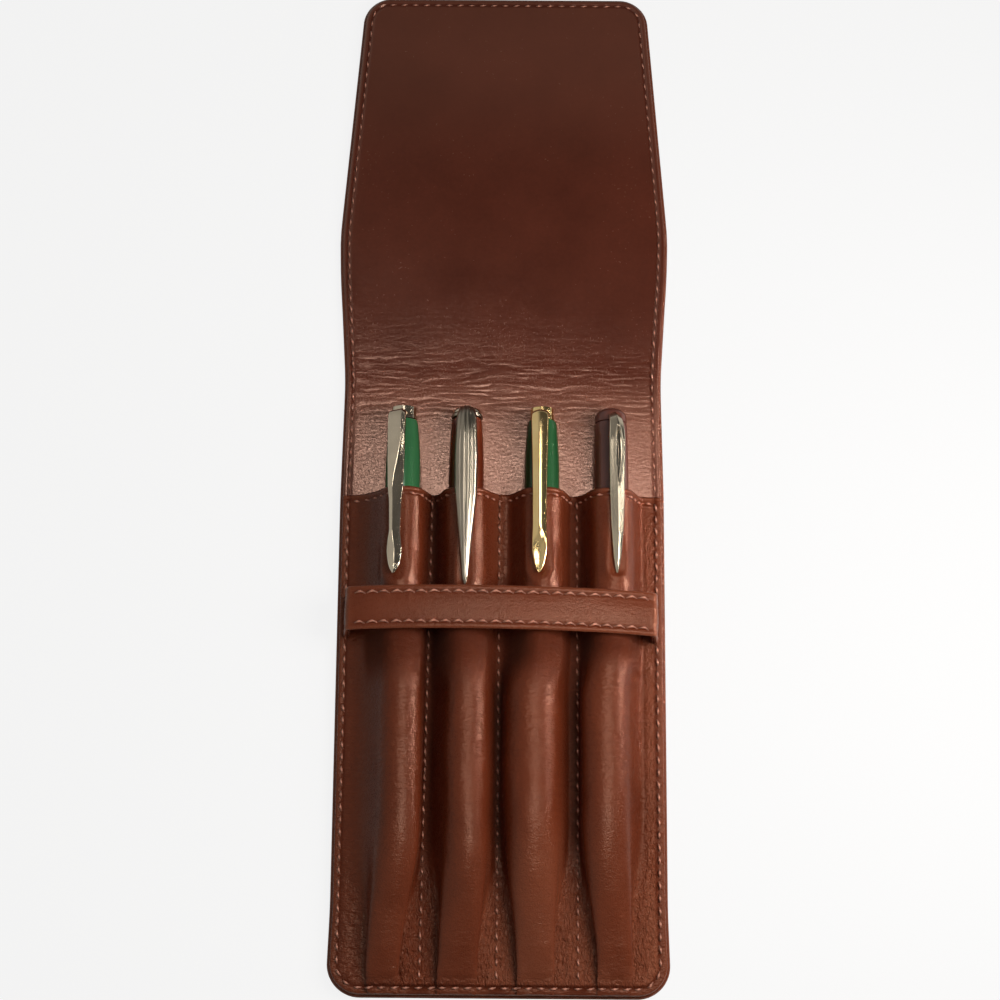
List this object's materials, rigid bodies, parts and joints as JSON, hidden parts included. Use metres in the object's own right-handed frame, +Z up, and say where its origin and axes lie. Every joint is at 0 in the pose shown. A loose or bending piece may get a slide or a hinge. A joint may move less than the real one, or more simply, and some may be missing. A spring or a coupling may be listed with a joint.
{
  "type": "leather pen case",
  "caption": "Leather case that holds pens in sewn channels, with a strap across them and a fold-over flap; capped pens slide out and their caps pull off.",
  "frame": {"origin": "on the table, under the middle of the open case", "axes": "+Y toward the tip of the open flap, +Z up out of the table, +X across the case to the right"},
  "size_m": [0.096, 0.295, 0.0163],
  "materials": {
    "outer_leather": "smooth, waxed",
    "lining_leather": "smooth, satin",
    "board": "plain",
    "pen_green": "polished",
    "pen_amber": "polished",
    "pen_olive": "polished",
    "pen_aubergine": "polished",
    "chrome_trim": "polished",
    "gold_trim": "polished",
    "grip_plastic": "satin",
    "steel_tip": "brushed"
  },
  "bodies": {
    "case": {"back_outer": "outer_leather", "back_board": "board", "back_lining": "lining_leather", "pocket_panel": "outer_leather", "strap_lining": "lining_leather", "strap_outer": "outer_leather"},
    "fold": {"fold_outer": "outer_leather", "fold_lining": "lining_leather"},
    "flap": {"flap_outer": "outer_leather", "flap_board": "board", "flap_lining": "lining_leather"},
    "pen_1": {"pen_1_barrel": "pen_green", "pen_1_grip": "grip_plastic", "pen_1_tip": "steel_tip"},
    "cap_1": {"pen_1_cap": "pen_green", "pen_1_band": "chrome_trim", "pen_1_clip": "chrome_trim", "pen_1_finial": "chrome_trim"},
    "pen_2": {"pen_2_barrel": "pen_amber", "pen_2_grip": "grip_plastic", "pen_2_tip": "steel_tip"},
    "cap_2": {"pen_2_cap": "pen_amber", "pen_2_band": "chrome_trim", "pen_2_clip": "chrome_trim", "pen_2_finial": "chrome_trim"},
    "pen_3": {"pen_3_barrel": "pen_olive", "pen_3_grip": "grip_plastic", "pen_3_tip": "steel_tip"},
    "cap_3": {"pen_3_cap": "pen_olive", "pen_3_band": "gold_trim", "pen_3_clip": "gold_trim", "pen_3_finial": "gold_trim"},
    "pen_4": {"pen_4_barrel": "pen_aubergine", "pen_4_grip": "grip_plastic", "pen_4_tip": "steel_tip"},
    "cap_4": {"pen_4_cap": "pen_aubergine", "pen_4_band": "chrome_trim", "pen_4_clip": "chrome_trim", "pen_4_finial": "pen_aubergine"}
  },
  "joints": [
    {"name": "fold_hinge", "type": "hinge", "parent": "case", "child": "fold", "pos_m": [0, 0.0215, 0.0027], "axis": [1, 0, 0], "range_deg": [0, 92.5]},
    {"name": "flap_hinge", "type": "hinge", "parent": "fold", "child": "flap", "pos_m": [0, 0.0435, 0.0027], "axis": [1, 0, 0], "range_deg": [0, 92.5]},
    {"name": "pen_1_slide", "type": "slide", "parent": "case", "child": "pen_1", "axis": [0, -1, 0], "range_m": [-0.125, 0]},
    {"name": "cap_1_pull", "type": "slide", "parent": "pen_1", "child": "cap_1", "axis": [0, -1, 0], "range_m": [-0.05, 0]},
    {"name": "pen_2_slide", "type": "slide", "parent": "case", "child": "pen_2", "axis": [0, -1, 0], "range_m": [-0.125, 0]},
    {"name": "cap_2_pull", "type": "slide", "parent": "pen_2", "child": "cap_2", "axis": [0, -1, 0], "range_m": [-0.05, 0]},
    {"name": "pen_3_slide", "type": "slide", "parent": "case", "child": "pen_3", "axis": [0, -1, 0], "range_m": [-0.125, 0]},
    {"name": "cap_3_pull", "type": "slide", "parent": "pen_3", "child": "cap_3", "axis": [0, -1, 0], "range_m": [-0.05, 0]},
    {"name": "pen_4_slide", "type": "slide", "parent": "case", "child": "pen_4", "axis": [0, -1, 0], "range_m": [-0.125, 0]},
    {"name": "cap_4_pull", "type": "slide", "parent": "pen_4", "child": "cap_4", "axis": [0, -1, 0], "range_m": [-0.05, 0]}
  ]
}
